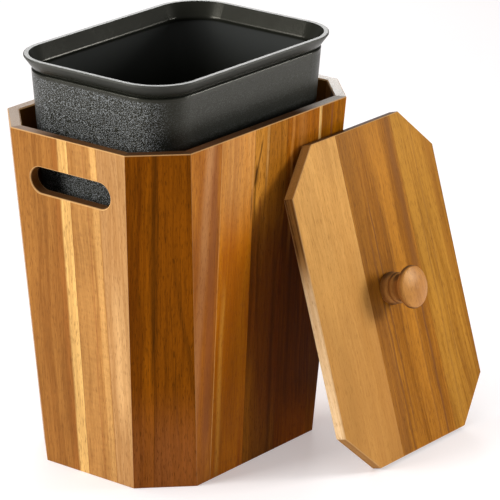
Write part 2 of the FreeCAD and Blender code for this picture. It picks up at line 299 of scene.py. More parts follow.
    def shade(self, **inputs: object) -> bpy.types.Material:
        """Finish the material with one shader.

        Args:
            inputs: Values for the shader's sockets, with underscores for the spaces in their names.

        Returns:
            The material.
        """
        shader = self.node("ShaderNodeBsdfPrincipled")
        for name, value in inputs.items():
            self.feed(shader.inputs[name.replace("_", " ")], value)
        self.tree.links.new(shader.outputs["BSDF"], self.output.inputs["Surface"])
        return self.material


@dataclass(frozen=True)
class BoardFrame:
    """Where a board lies: a point on its face, and the ways across the grain, along it and outward."""

    origin: Vector
    across: Vector
    along: Vector
    out: Vector

    def turn(self) -> Euler:
        """The turn from the board's own directions to the model's."""
        return Matrix((self.across, self.along, self.out)).transposed().to_euler("XYZ")


class BoardSheet(Sheet):
    """A board's node tree, with the place on the board in millimetres."""

    def __init__(self, name: str, place: BoardFrame, slope: float, seed: float) -> None:
        """Start a board's material.

        Args:
            name: The material's name.
            place: Where the board lies.
            slope: How far the grain leans across the board for each length along it.
            seed: A number that picks the board's figure.
        """
        super().__init__(name)
        self.seed = seed
        mapping = self.node("ShaderNodeMapping", vector_type="TEXTURE")
        self.feed(mapping.inputs["Vector"], self.place)
        mapping.inputs["Location"].default_value = place.origin
        mapping.inputs["Rotation"].default_value = place.turn()
        mapping.inputs["Scale"].default_value = (MM, MM, MM)
        self.across, self.along, self.through = self.split(mapping.outputs["Vector"])
        self.slanted = self.plus(self.across, self.times(self.along, slope))
        self.spot = self.join(self.slanted, self.along, self.through)

    def layer(self, grain: Grain, spot: Socket | None = None) -> Socket:
        """One layer of the figure, sharpened by its step.

        Args:
            grain: The layer.
            spot: The place to draw it at, if not the place on the board.

        Returns:
            The layer's socket, from 0 to 1.
        """
        place = self.spot if spot is None else spot
        return self.ramp(self.noise(place, grain.value, self.seed), grain.value.step)

    def waver(self, grain: Grain, spot: Socket | None = None, extra: float = 0.0) -> Socket:
        """One layer of the figure as a weighed wander to both sides of nought.

        Args:
            grain: The layer.
            spot: The place to draw it at, if not the place on the board.
            extra: A number added to the board's seed.

        Returns:
            The wander's socket.
        """
        place = self.spot if spot is None else spot
        level = self.noise(place, grain.value, self.seed + extra)
        return self.times(self.minus(level, NOISE_MEAN), grain.value.weight)


@dataclass(frozen=True)
class WoodTone:
    """The colours of one kind of heartwood: its light grain, its dark grain and its veins."""

    light: Colour
    dark: Colour
    vein: Colour


class Tone(Enum):
    """The heartwood tones that the staves were picked from."""

    HONEY = WoodTone((0.33, 0.14, 0.031), (0.20, 0.071, 0.014), (0.12, 0.039, 0.009))
    APRICOT = WoodTone((0.42, 0.20, 0.056), (0.29, 0.12, 0.029), (0.17, 0.060, 0.015))
    WHEAT = WoodTone((0.47, 0.25, 0.094), (0.34, 0.16, 0.051), (0.20, 0.083, 0.026))
    RUSSET = WoodTone((0.28, 0.078, 0.002), (0.13, 0.031, 0.001), (0.047, 0.013, 0.001))
    CINNAMON = WoodTone((0.25, 0.068, 0.002), (0.12, 0.030, 0.001), (0.044, 0.011, 0.001))
    ROSY = WoodTone((0.51, 0.19, 0.021), (0.28, 0.083, 0.009), (0.15, 0.037, 0.006))
    GOLDEN = WoodTone((0.58, 0.19, 0.004), (0.33, 0.083, 0.001), (0.17, 0.038, 0.001))
    UMBER = WoodTone((0.24, 0.087, 0.008), (0.13, 0.040, 0.003), (0.040, 0.010, 0.001))
    WALNUT = WoodTone((0.29, 0.081, 0.002), (0.15, 0.036, 0.001), (0.049, 0.009, 0.001))
    AMBER = WoodTone((0.33, 0.11, 0.002), (0.16, 0.046, 0.001), (0.076, 0.019, 0.001))
    SAND = WoodTone((0.70, 0.37, 0.10), (0.52, 0.25, 0.059), (0.33, 0.14, 0.029))
    CHESTNUT = WoodTone((0.43, 0.17, 0.017), (0.24, 0.082, 0.006), (0.12, 0.038, 0.006))
    STRAW = WoodTone((0.42, 0.19, 0.023), (0.26, 0.10, 0.009), (0.15, 0.048, 0.006))
    TOFFEE = WoodTone((0.54, 0.24, 0.056), (0.38, 0.15, 0.032), (0.20, 0.070, 0.016))


# Colours of the sapwood, the dark marks, a painted shadow cast by the lid, the arrises' wear with a painted
# highlight, and two cut-end colours paled as painted glare
SAPWOOD: Colour = (0.68, 0.40, 0.13)
PLUM: Colour = (0.15, 0.050, 0.030)
INK: Colour = (0.030, 0.008, 0.001)
LID_SHADOW_BROWN: Colour = (0.046, 0.012, 0.001)
WORN_HIGHLIGHT: Colour = (0.62, 0.36, 0.15)
GLARE_WHITE: Colour = (0.58, 0.53, 0.47)
GLARE_GREY: Colour = (0.40, 0.31, 0.24)
COCOA: Colour = (0.15, 0.055, 0.018)

# How much of a wash's width is its soft edge
WASH_SOFT = 0.2


@dataclass(frozen=True)
class Streak:
    """A soft-edged band of another colour along a board's grain, over all of it or from low to high.

    Lengths are in millimetres.
    """

    at: float
    width: float
    colour: Colour
    strength: float = 0.8
    soft: float = 0.6
    lean: float = 0.0
    low: float | None = None
    high: float | None = None
    fade: float = 40.0
    wander: float = 1.5


def wash(at: float, width: float, colour: Colour, strength: float, **run: float) -> Streak:
    """A broad, even streak over part of a board: a few change its tone, most here paint shadow, sheen or
    floor light.
    """
    return Streak(at, width, colour, strength, soft=WASH_SOFT, wander=0.0, **run)


@dataclass(frozen=True)
class Knot:
    """A small knot that the grain flows round. Lengths are in millimetres."""

    across: float
    along: float
    size: float
    push: float


# The rings' run along the grain in millimetres, their step and share, and the spread of the tones
RING_RUN = 420.0
RING_STEP: Span = (0.32, 0.68)
RING_SHARE = 0.40
TONE_SPREAD = 0.40

# A knot's core in knot sizes, how much longer it is along the grain, and a vein's width in noise levels
KNOT_CORE: Span = (0.15, 0.75)
KNOT_STRETCH = 2.8
VEIN_WIDTH: Span = (0.0, 0.035)

# How much of a streak shows everywhere and how much follows the fine figure
STREAK_BASE = 0.62
STREAK_FRAY = 0.45

# A glue line's edges in millimetres and its strength
GLUE_EDGE: Span = (0.08, 0.45)
GLUE_SHARE = 0.45

# Where a face counts as the inside or an edge, which get painted shade, a cut end, or an eased arris, which
# gets wear and a painted highlight, from how far it is turned
INNER_TURN: Span = (-0.9, -0.7)
SIDE_TURN: Span = (0.15, 0.70)
END_TURN: Span = (0.55, 0.92)
ARRIS_FROM: Span = (0.10, 0.30)
ARRIS_TO: Span = (0.94, 0.985)

# How much a cut end loses its own colour, and the height in millimetres from which an end is a stave's top
# and may take painted light
END_SHARE = 0.85
TOP_EDGE: Span = (275.0, 290.0)


@dataclass(frozen=True)
class Lacquer:
    """Satin lacquer: its tint, its roughness, and the relief of hairs and pores, in millimetres."""

    tint: Colour = (1.0, 0.62, 0.24)
    rough: float = 0.29
    fibre_rough: float = 0.10
    hair_height: float = 0.4
    pore_depth: float = 0.7
    relief: float = 0.10
    strength: float = 0.35


@dataclass(frozen=True)
class BoardFinish:
    """Satin lacquer on one board: its tone, its own figure, the marks that single it out, and the painted
    shade, highlight and glare on its inside, edges, arrises and cut ends.
    """

    tone: Tone
    seed: float
    streaks: tuple[Streak, ...] = ()
    knots: tuple[Knot, ...] = ()
    ripple: float = 0.03
    slope: float = 0.0
    pitch: float = 13.0
    pith: Span = (-80.0, -50.0)
    veins: float = 0.35
    contrast: float = 1.0
    # How strongly the eased arrises are paled, as wear plus a painted highlight
    wear_and_highlight: float = 0.60
    gloss: float = 0.04
    painted_inner_shade: float = 0.0
    painted_side_shade: float = 0.0
    # Cut ends dark as end grain, darkened further as painted shade
    end_colour: Colour = (0.060, 0.028, 0.012)
    end_rough: float = 0.14
    # Painted light or glare on the stave's top, faded across by the span below
    top_light: Colour | None = None
    top_light_fade: Span = (0.0, 1.0)
    glue_lines: tuple[float, ...] = ()
    lacquer: Lacquer = Lacquer()

    def material(self, name: str, place: BoardFrame) -> bpy.types.Material:
        """Make the board's own material.

        Args:
            name: The material's name.
            place: Where the board lies.

        Returns:
            The material.
        """
        sheet = BoardSheet(name, place, self.slope, self.seed)
        tone = self.tone.value
        lacquer = self.lacquer
        ring_spot = sheet.join(self.ring_field(sheet), sheet.along, 0.0)
        fine = sheet.layer(Grain.FINE, ring_spot)
        fibre = sheet.layer(Grain.FIBRE)
        hair = sheet.layer(Grain.HAIR)
        pores = sheet.layer(Grain.PORES)

        rings = sheet.noise(ring_spot, Lumps((self.pitch, RING_RUN, 1.0), self.seed))
        figure = sheet.ramp(rings, RING_STEP, 0.0, RING_SHARE)
        for grain, layer in ((Grain.FINE, fine), (Grain.FIBRE, fibre), (Grain.HAIR, hair)):
            figure = sheet.plus(figure, sheet.times(layer, grain.value.weight))
        spread = TONE_SPREAD / self.contrast
        light = sheet.ramp(figure, (NOISE_MEAN - spread, NOISE_MEAN + spread))
        colour = sheet.blend(light, tone.dark, tone.light)
        colour = self.vein_lines(sheet, colour, ring_spot)
        for number, streak in enumerate(self.streaks):
            colour = self.streaked(sheet, colour, streak, fine, number)
        for knot in self.knots:
            core = sheet.fall(self.knot_distance(sheet, knot), KNOT_CORE)
            colour = sheet.blend(sheet.times(core, fine), colour, tone.vein)
        colour = sheet.blend(sheet.times(pores, Grain.PORES.value.weight), colour, tone.vein)

        curl = sheet.times(sheet.waver(Grain.CURL), self.ripple)
        gain = sheet.plus(sheet.plus(curl, sheet.waver(Grain.CLOUD)), 1.0)
        colour = sheet.blend(1.0, colour, sheet.join(gain, gain, gain), "MULTIPLY")
        colour = self.glued(sheet, colour)
        colour, end = self.cut_faces(sheet, colour, place)
        rough = sheet.plus(sheet.times(fibre, lacquer.fibre_rough), sheet.times(end, self.end_rough))
        relief = sheet.minus(sheet.times(hair, lacquer.hair_height), sheet.times(pores, lacquer.pore_depth))
        return sheet.shade(
            Base_Color=colour,
            Roughness=sheet.plus(rough, lacquer.rough),
            Specular_IOR_Level=self.gloss,
            Specular_Tint=lacquer.tint,
            Normal=sheet.bump(relief, lacquer.relief, lacquer.strength),
        )

    def ring_field(self, sheet: BoardSheet) -> Socket:
        """How far each point lies from the tree's pith, with the slow wander of real grain.

        Args:
            sheet: The board's node tree.

        Returns:
            The distance's socket, in millimetres.
        """
        shift = sheet.plus(sheet.waver(Grain.SLOW_SHIFT), sheet.waver(Grain.QUICK_SHIFT))
        side = sheet.minus(sheet.plus(sheet.slanted, shift), self.pith[0])
        deep = sheet.minus(sheet.through, self.pith[1])
        rings = sheet.length(side, deep)
        for knot in self.knots:
            away = self.knot_distance(sheet, knot)
            hill = sheet.calc("POWER", math.e, sheet.times(sheet.times(away, away), -1.0))
            rings = sheet.plus(rings, sheet.times(hill, knot.push))
        return rings

    def knot_distance(self, sheet: BoardSheet, knot: Knot) -> Socket:
        """How far a point lies from a knot, in knot sizes, counted less along the grain.

        Args:
            sheet: The board's node tree.
            knot: The knot.

        Returns:
            The distance's socket.
        """
        side = sheet.times(sheet.minus(sheet.slanted, knot.across), 1.0 / knot.size)
        run = sheet.times(sheet.minus(sheet.along, knot.along), 1.0 / (KNOT_STRETCH * knot.size))
        return sheet.length(side, run)

    def vein_lines(self, sheet: BoardSheet, colour: Socket, ring_spot: Socket) -> Socket:
        """Draw the thin dark lines where one season's growth ends.

        Args:
            sheet: The board's node tree.
            colour: The colour so far.
            ring_spot: The distance from the pith and the place along the grain.

        Returns:
            The colour's socket.
        """
        line = sheet.fall(sheet.unsigned(sheet.waver(Grain.VEIN, ring_spot)), VEIN_WIDTH)
        fading = sheet.layer(Grain.VEIN_FADING, ring_spot)
        share = sheet.times(sheet.times(line, fading), self.veins)
        return sheet.blend(share, colour, self.tone.value.vein)

    def streaked(
        self, sheet: BoardSheet, colour: Socket, streak: Streak, fine: Socket, number: int,
    ) -> Socket:
        """Lay one streak over the colour.

        Args:
            sheet: The board's node tree.
            colour: The colour so far.
            streak: The streak.
            fine: The fine figure, which frays the streak.
            number: The streak's number on this board.

        Returns:
            The colour's socket.
        """
        sway = sheet.times(sheet.waver(Grain.SWAY, extra=number), streak.wander)
        middle = sheet.plus(sheet.times(sheet.along, streak.lean), streak.at)
        away = sheet.unsigned(sheet.minus(sheet.plus(sheet.across, sway), middle))
        share = sheet.fall(away, (streak.width * (1.0 - streak.soft), streak.width))
        if streak.low is not None:
            start = sheet.ramp(sheet.along, (streak.low - streak.fade, streak.low))
            share = sheet.times(share, start)
        if streak.high is not None:
            stop = sheet.fall(sheet.along, (streak.high, streak.high + streak.fade))
            share = sheet.times(share, stop)
        frayed = sheet.plus(sheet.times(fine, STREAK_FRAY), STREAK_BASE)
        share = sheet.times(sheet.times(share, frayed), streak.strength)
        return sheet.blend(share, colour, streak.colour)

    def glued(self, sheet: BoardSheet, colour: Socket) -> Socket:
        """Darken the hairlines where the board is glued to its neighbours.

        Args:
            sheet: The board's node tree.
            colour: The colour so far.

        Returns:
            The colour's socket.
        """
        for line in self.glue_lines:
            near = sheet.unsigned(sheet.minus(sheet.across, line))
            colour = sheet.blend(sheet.fall(near, GLUE_EDGE, GLUE_SHARE), colour, self.tone.value.vein)
        return colour

    def cut_faces(self, sheet: BoardSheet, colour: Socket, place: BoardFrame) -> tuple[Socket, Socket]:
        """Paint shade on the inside and the edges, show cut ends as end grain darkened with painted shade
        and on some tops paled with painted glare, and show eased arrises paler, as wear plus a painted
        highlight.

        Args:
            sheet: The board's node tree.
            colour: The colour so far.
            place: Where the board lies.

        Returns:
            The colour's socket, and a socket that is 1 on a cut end.
        """
        vein = self.tone.value.vein
        outward = sheet.facing(place.out)
        flat = sheet.unsigned(outward)
        # Painted shade: inside faces, and edges turned side-on, are darkened toward the vein colour
        if self.painted_inner_shade > 0.0:
            colour = sheet.blend(sheet.fall(outward, INNER_TURN, self.painted_inner_shade), colour, vein)
        if self.painted_side_shade > 0.0:
            colour = sheet.blend(sheet.fall(flat, SIDE_TURN, self.painted_side_shade), colour, vein)
        end = sheet.ramp(sheet.unsigned(sheet.facing(place.along)), END_TURN)
        # Cut ends: dark end grain with painted shade, paled on the tops by painted glare where a top colour
        # is set
        cut = self.end_colour
        if self.top_light is not None:
            pale = sheet.times(sheet.ramp(sheet.along, TOP_EDGE), sheet.ramp(sheet.across, self.top_light_fade))
            cut = sheet.blend(pale, self.end_colour, self.top_light)
        greyed = sheet.blend(END_SHARE, colour, cut)
        dots = sheet.times(sheet.layer(Grain.END_DOTS), Grain.END_DOTS.value.weight)
        greyed = sheet.blend(dots, greyed, vein)
        colour = sheet.blend(end, colour, greyed)
        # Eased arrises paler: wear plus a painted highlight
        worn_and_lit = sheet.times(sheet.ramp(flat, ARRIS_FROM), sheet.fall(flat, ARRIS_TO, self.wear_and_highlight))
        return sheet.blend(worn_and_lit, colour, WORN_HIGHLIGHT), end


@dataclass(frozen=True)
class PlasticFinish:
    """Black moulded plastic: grained on its ends, with glints painted into the colour there, satin on its
    long sides and rim, with painted light on the flare, and with painted light inside, fading downward.

    Wall end, flare start and the start of the painted inner light are heights from the rim's start in
    metres. The lumps and the relief are in millimetres.
    """

    colour: Colour = (0.010, 0.0105, 0.0075)
    dust: Colour = (0.014, 0.0145, 0.011)
    # Glints painted into the colour of the grained ends
    glint: Colour = (0.19, 0.20, 0.205)
    # Painted light on the flare's outside, growing toward the lip
    flare: Colour = (0.038, 0.039, 0.035)
    # Painted light on the inner wall, fading downward
    inner_light: Colour = (0.042, 0.044, 0.042)
    tint: Colour = (1.0, 0.96, 0.80)
    gloss: float = 0.28
    wall_end: Span = (-0.003, -0.001)
    flare_start: Span = (0.003, 0.011)
    inner_light_start: Span = (-0.065, -0.002)
    outside_turn: Span = (0.0, 0.01)
    end_turn: Span = (0.50, 0.95)
    up_turn: Span = (0.3, 0.8)
    side_grain: float = 0.12
    pebble_scale: float = 0.90
    pebble_smoothness: float = 0.35
    crumbs: Lumps = Lumps((0.55, 0.55, 0.55), 2.0, 1.0, weight=0.6)
    satin: Lumps = Lumps((0.25, 0.25, 0.25), 6.0, 1.0, weight=0.03)
    haze: Lumps = Lumps((30.0, 30.0, 45.0), 4.0, step=(0.35, 0.75), weight=0.7)
    sparkle: Lumps = Lumps((1.0, 1.0, 0.65), 9.0, 0.0, (0.50, 0.68))
    relief: float = 0.55
    rough: float = 0.20
    haze_rough: float = 0.06
    outer_rough: float = 0.16
    grained_rough: float = -0.10
    upward_rough: float = 0.09
    flare_rough: float = 0.25

    def material(self, name: str, rim_from: float) -> bpy.types.Material:
        """Make the bin's material.

        Args:
            name: The material's name.
            rim_from: The height where the wall ends and the rim begins, in metres.

        Returns:
            The material.
        """
        sheet = Sheet(name)
        spot = sheet.millimetres()
        x, y, z = sheet.split(sheet.place)
        above = sheet.minus(z, rim_from)
        outside = sheet.ramp(sheet.facing(sheet.join(x, y, 0.0)), self.outside_turn)
        below = sheet.fall(above, self.wall_end)
        outer = sheet.times(outside, below)
        inner = sheet.times(sheet.minus(1.0, outside), below)
        flare = sheet.times(outside, sheet.ramp(above, self.flare_start))
        # The inner wall near the top, which takes the painted light
        lit_inside = sheet.times(inner, sheet.ramp(above, self.inner_light_start))
        endwise, _, rising = sheet.split(sheet.normal)
        grained = sheet.times(outer, sheet.ramp(sheet.unsigned(endwise), self.end_turn, self.side_grain))
        upward = sheet.ramp(rising, self.up_turn)

        pebble = sheet.node("ShaderNodeTexVoronoi", feature="SMOOTH_F1")
        sheet.feed(pebble.inputs["Vector"], spot)
        pebble.inputs["Scale"].default_value = self.pebble_scale
        pebble.inputs["Smoothness"].default_value = self.pebble_smoothness
        crumbs = sheet.times(sheet.noise(spot, self.crumbs), self.crumbs.weight)
        height = sheet.times(sheet.minus(crumbs, pebble.outputs["Distance"]), grained)
        height = sheet.plus(height, sheet.times(sheet.noise(spot, self.satin), self.satin.weight))

        haze = sheet.noise(spot, self.haze)
        colour = sheet.blend(sheet.ramp(haze, self.haze.step, 0.0, self.haze.weight), self.colour, self.dust)
        # Painted light on the inner wall near the top
        colour = sheet.blend(lit_inside, colour, self.inner_light)
        # Painted glints on the grained ends
        glint = sheet.ramp(sheet.noise(spot, self.sparkle), self.sparkle.step)
        colour = sheet.blend(sheet.times(glint, grained), colour, self.glint)
        # Painted light on the flare's outside, lighter toward the lip
        colour = sheet.blend(flare, colour, self.flare)
        rough: Value = self.rough
        for mask, extra in (
            (haze, self.haze_rough),
            (outer, self.outer_rough),
            (grained, self.grained_rough),
            (upward, self.upward_rough),
            (flare, self.flare_rough),
        ):
            rough = sheet.plus(rough, sheet.times(mask, extra))
        return sheet.shade(
            Base_Color=colour,
            Roughness=rough,
            Specular_IOR_Level=self.gloss,
            Specular_Tint=self.tint,
            Normal=sheet.bump(height, self.relief, 1.0),
        )


@dataclass(frozen=True)
class SteelFinish:
    """Zinc-plated steel, dulled a little by handling. The lumps and the scratches are in millimetres."""

    bright: Colour = (0.66, 0.66, 0.64)
    dull: Colour = (0.42, 0.42, 0.40)
    rough: float = 0.22
    cloud: Lumps = Lumps((1.6, 1.6, 1.6), 3.0, step=(0.3, 0.7), weight=0.25)
    scratches: Lumps = Lumps((0.12, 1.4, 0.12), 8.0, weight=0.4)
    scratch_depth: float = 0.02

    def material(self, name: str) -> bpy.types.Material:
        """Make the screws' material.

        Args:
            name: The material's name.

        Returns:
            The material.
        """
        sheet = Sheet(name)
        spot = sheet.millimetres()
        cloud = sheet.noise(spot, self.cloud)
        scratches = sheet.noise(spot, self.scratches)
        return sheet.shade(
            Base_Color=sheet.blend(sheet.ramp(cloud, self.cloud.step), self.dull, self.bright),
            Metallic=1.0,
            Roughness=sheet.plus(sheet.times(cloud, self.cloud.weight), self.rough),
            Normal=sheet.bump(scratches, self.scratch_depth, self.scratches.weight),
        )


# What the names of the lacquered boards' materials begin with
WOOD = "acacia_"


def dress(node: str, material: bpy.types.Material) -> None:
    """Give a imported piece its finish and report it.

    Args:
        node: The piece's name.
        material: Its material.
    """
    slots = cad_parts[node].data.materials
    slots.clear()
    slots.append(material)
    LOG.info("%s: %s", node, material.name)


@dataclass
class Case:
    """The tapered case: eight sides of edge-glued staves and a floor board.

    Sizes are in metres, glue lines in millimetres from the middle of a side. Plain staves are those without
    marks of their own.
    """

    height: float = 0.300
    top_length: float = 0.2824
    top_width: float = 0.1982
    foot_length: float = 0.2334
    foot_width: float = 0.1716
    corner_leg: float = 0.0377
    # Painted shade on the staves' inside faces and on their edges in the slots
    painted_inner_shade: float = 0.8
    painted_side_shade: float = 0.8
    plain_gloss: float = 0.22
    plain_seed: float = 20.0
    plain_veins: float = 0.2
    plain_veins_step: float = 0.05
    # Roughness of the cut ends that carry painted glare
    glare_end_rough: float = -0.08
    plain_tones: tuple[Tone, ...] = (
        Tone.HONEY, Tone.STRAW, Tone.CHESTNUT, Tone.WHEAT, Tone.RUSSET, Tone.TOFFEE, Tone.APRICOT,
    )
    floor_finish: BoardFinish = BoardFinish(Tone.SAND, 50.0, pitch=26.0, pith=(0.0, -220.0), veins=0.25)
    sides: tuple[str, ...] = (
        "front", "front_right", "right", "back_right", "back", "back_left", "left", "front_left",
    )
    glue_lines: dict[str, tuple[float, ...]] = field(default_factory=lambda: {
        "front": (-63.2, -19.5, 23.7, 68.5),
        "front_right": (3.2,),
        "right": (-24.9, 7.7),
        "back_right": (-5.9,),
        "back": (-55.3, -17.4, 23.7, 58.5),
        "back_left": (7.5,),
        "left": (-0.5, 31.0),
        "front_left": (-9.5,),
    })
    finishes: dict[str, BoardFinish] = field(default_factory=lambda: {
        "front_stave_1": BoardFinish(Tone.ROSY, 1.0, (
            Streak(-71.0, 7.5, PLUM, 0.55, 0.8, low=60.0, high=280.0, fade=60.0),
            Streak(-90.0, 9.0, (0.52, 0.27, 0.12), 0.5, 0.9, lean=0.04),
            # Painted shadow of the lid over the middle of the stave
            wash(-83.0, 30.0, (0.22, 0.060, 0.006), 0.55, low=90.0, high=170.0, fade=80.0),
        )),
        "front_stave_2": BoardFinish(Tone.GOLDEN, 2.0, (
            # Painted shadow of the lid over the middle and lower stave
            wash(-41.0, 30.0, (0.20, 0.055, 0.001), 0.55, low=50.0, high=170.0, fade=80.0),
            # Painted sheen, paler at the top
            wash(-41.0, 30.0, (0.60, 0.330, 0.110), 0.50, low=265.0, fade=70.0),
            Streak(-62.4, 0.9, SAPWOOD, 0.45, 0.9, wander=0.2),
            Streak(-55.0, 4.5, (0.58, 0.27, 0.035), 0.5, 0.9, high=150.0),
            Streak(-21.5, 1.6, INK, 0.55, 0.9, low=228.0, high=240.0, fade=12.0, wander=1.0),
        ), pitch=18.0, contrast=1.3),
        "front_stave_3": BoardFinish(Tone.UMBER, 3.0, (
            # Painted shadow of the lid over the lower stave
            wash(2.0, 40.0, (0.088, 0.014, 0.001), 0.72, low=70.0, high=160.0, fade=85.0),
            # Lighter at the left of the foot, softening the painted shadow's edge
            Streak(-17.0, 16.0, (0.34, 0.120, 0.006), 0.60, 0.9, high=60.0, fade=70.0, wander=0.0),
            wash(2.0, 40.0, (0.50, 0.180, 0.012), 0.40, low=250.0, fade=55.0),
            Streak(-14.0, 13.0, (0.58, 0.245, 0.032), 0.70, 0.8, low=242.0, fade=30.0),
            Streak(-13.0, 4.0, (0.20, 0.055, 0.004), 0.60, 0.9, low=120.0, high=205.0, fade=30.0),
            Streak(-1.5, 2.6, (0.66, 0.38, 0.12), 0.45, 0.9, low=262.0, fade=26.0),
            Streak(-78.0, 1.9, INK, 0.8, 0.9, lean=0.235, low=256.0, high=284.0, fade=10.0, wander=0.8),
            Streak(-17.5, 1.6, INK, 0.80, 0.9, low=226.0, high=262.0, fade=14.0, wander=1.2),
            Streak(-15.5, 3.0, INK, 0.80, 0.8, low=257.0, high=262.0, fade=7.0, wander=0.5),
            Streak(
                -10.0, 3.2, (0.16, 0.040, 0.004), 0.75, 0.9,
                low=222.0, high=234.0, fade=12.0, wander=0.8,
            ),
            Streak(-4.0, 1.4, (0.10, 0.028, 0.003), 0.60, 0.9, low=215.0, high=255.0, fade=20.0),
            Streak(-10.0, 1.8, INK, 0.5, 0.9, low=150.0, high=190.0),
            Streak(14.0, 4.0, INK, 0.5, 0.9, high=170.0),
        ), knots=(Knot(-15.0, 259.0, 7.0, 11.0),), veins=0.6, contrast=1.2, gloss=0.02),
        "front_stave_4": BoardFinish(Tone.WALNUT, 4.0, (
            # Painted shadow of the lid over the lower stave
            wash(46.0, 40.0, LID_SHADOW_BROWN, 0.80, low=60.0, high=185.0, fade=80.0),
            wash(46.0, 40.0, (0.47, 0.170, 0.012), 0.25, low=265.0, fade=50.0),
            Streak(31.0, 3.0, (0.52, 0.21, 0.035), 0.7, 0.8, low=215.0, fade=50.0),
            Streak(44.0, 9.0, (0.40, 0.155, 0.026), 0.6, 0.9, low=225.0, fade=50.0),
            Streak(67.8, 1.9, SAPWOOD, 0.9, 0.7, low=240.0, fade=60.0, wander=0.3),
        # Painted glare paling the right end of the top rim
        ), veins=0.5, contrast=1.1, gloss=0.02, top_light=GLARE_WHITE, top_light_fade=(38.0, 72.0)),
        "front_stave_5": BoardFinish(Tone.AMBER, 5.0, (
            # Painted shadow of the lid over the lower stave
            wash(86.0, 40.0, LID_SHADOW_BROWN, 0.80, low=60.0, high=185.0, fade=80.0),
            Streak(69.0, 1.2, SAPWOOD, 0.8, 0.8, low=240.0, fade=60.0, wander=0.3),
            Streak(84.0, 2.0, PLUM, 0.5, 0.9, low=200.0),
        # Painted glare paling the right end of the top rim
        ), contrast=1.1, gloss=0.02, top_light=GLARE_WHITE, top_light_fade=(60.0, 72.0)),
        "left_stave_1": BoardFinish(Tone.HONEY, 6.0, (
            Streak(-4.0, 8.6, SAPWOOD, 0.95, 0.4, wander=0.5),
            Streak(-14.5, 4.0, (0.30, 0.105, 0.022), 0.5, 0.9, wander=0.6),
        # Painted light on part of the top rim
        ), pitch=20.0, veins=0.2, top_light=(0.30, 0.21, 0.15), top_light_fade=(-10.0, -45.0)),
        "left_stave_2_above_slot": BoardFinish(Tone.APRICOT, 7.0, (
            Streak(27.0, 4.5, (0.74, 0.42, 0.14), 0.6, 0.6, wander=0.4),
            Streak(17.0, 1.2, (0.30, 0.11, 0.03), 0.6, 0.9),
        ), ripple=0.12, contrast=1.3),
        "left_stave_2_below_slot": BoardFinish(Tone.APRICOT, 7.0, (
            Streak(27.0, 4.5, (0.74, 0.42, 0.14), 0.4, 0.6, wander=0.4),
            Streak(17.0, 1.4, (0.30, 0.11, 0.03), 0.6, 0.9, lean=0.01),
        ), ripple=0.12, contrast=1.3),
        "left_stave_3": BoardFinish(Tone.WHEAT, 8.0, (
            # Painted sheen at mid-height
            Streak(44.0, 9.0, (0.78, 0.47, 0.20), 0.55, 0.9, low=90.0, high=150.0, fade=60.0),
        ), pitch=22.0, veins=0.15),
        "front_left_stave_1": BoardFinish(Tone.RUSSET, 9.0, (
            Streak(-10.5, 3.6, INK, 0.75, 0.7, low=140.0, fade=70.0, wander=0.6),
            # Painted floor light at the foot: paler and bluer lower down
            wash(-16.0, 30.0, (0.25, 0.082, 0.024), 0.50, high=30.0, fade=70.0),
        )),
        "front_left_stave_2": BoardFinish(Tone.CINNAMON, 10.0, (
            Streak(38.0, 3.2, INK, 0.38, 0.9, lean=-0.16, low=80.0, high=190.0, fade=40.0),
            Streak(-8.0, 1.6, INK, 0.5, 0.9, low=150.0),
            # Painted floor light at the foot: paler and bluer lower down
            wash(8.0, 40.0, (0.27, 0.090, 0.028), 0.50, high=30.0, fade=70.0),
        ), pitch=17.0),
    })

    def outline(self, length: float, width: float, level: float) -> list[Vector]:
        """The eight corners of a level section.

        Args:
            length: The section's full length.
            width: Its full width.
            level: Its height.

        Returns:
            The corners, anticlockwise from the left end of the front.
        """
        x = length / 2
        y = width / 2
        leg = self.corner_leg
        ring = (
            (leg - x, -y), (x - leg, -y), (x, leg - y), (x, y - leg),
            (x - leg, y), (leg - x, y), (-x, y - leg), (-x, leg - y),
        )
        return [Vector((a, b, level)) for a, b in ring]

    def side_frame(self, side: str) -> BoardFrame:
        """The frame of one side's outer face, from the middle of its foot.

        Args:
            side: The side's name.

        Returns:
            The frame.
        """
        index = self.sides.index(side)
        foot = self.outline(self.foot_length, self.foot_width, 0.0)
        top = self.outline(self.top_length, self.top_width, self.height)
        start = foot[index]
        end = foot[(index + 1) % len(self.sides)]
        across = (end - start).normalized()
        out = across.cross(top[index] - start).normalized()
        return BoardFrame((start + end) / 2, across, out.cross(across), out)

    def side_of(self, node: str) -> str:
        """The side that a stave belongs to."""
        return node.split("_stave_")[0]

    def finish_of(self, node: str, number: int) -> BoardFinish:
        """The finish of a stave, picked from the common tones where the stave has no marks of its own.

        Args:
            node: The stave's name.
            number: Its place in the list of staves, which seeds its figure.

        Returns:
            The finish.
        """
        lines = self.glue_lines[self.side_of(node)]
        made = self.finishes.get(node)
        if made is None:
            pick = number % len(self.plain_tones)
            made = BoardFinish(
                self.plain_tones[pick],
                self.plain_seed + number,
                veins=self.plain_veins + self.plain_veins_step * pick,
                gloss=self.plain_gloss,
                # Pale cut ends as painted glare
                end_colour=GLARE_GREY,
            )
            # The right-hand staves' tops whiter still, as painted glare
            if "right" in node:
                made = replace(made, end_colour=GLARE_WHITE, end_rough=self.glare_end_rough)
        return replace(made, glue_lines=lines, painted_inner_shade=self.painted_inner_shade, painted_side_shade=self.painted_side_shade)

    def build(self) -> None:
        """Dress every stave and the floor board."""
        staves = sorted(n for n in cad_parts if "_stave_" in n and not n.startswith("lid_"))
        for number, node in enumerate(staves):
            place = self.side_frame(self.side_of(node))
            dress(node, self.finish_of(node, number).material(WOOD + node, place))
        floor = BoardFrame(Vector((0, 0, 0)), Vector((0, 1, 0)), Vector((-1, 0, 0)), Vector((0, 0, 1)))
        dress("floor_board", self.floor_finish.material("plywood_floor_board", floor))


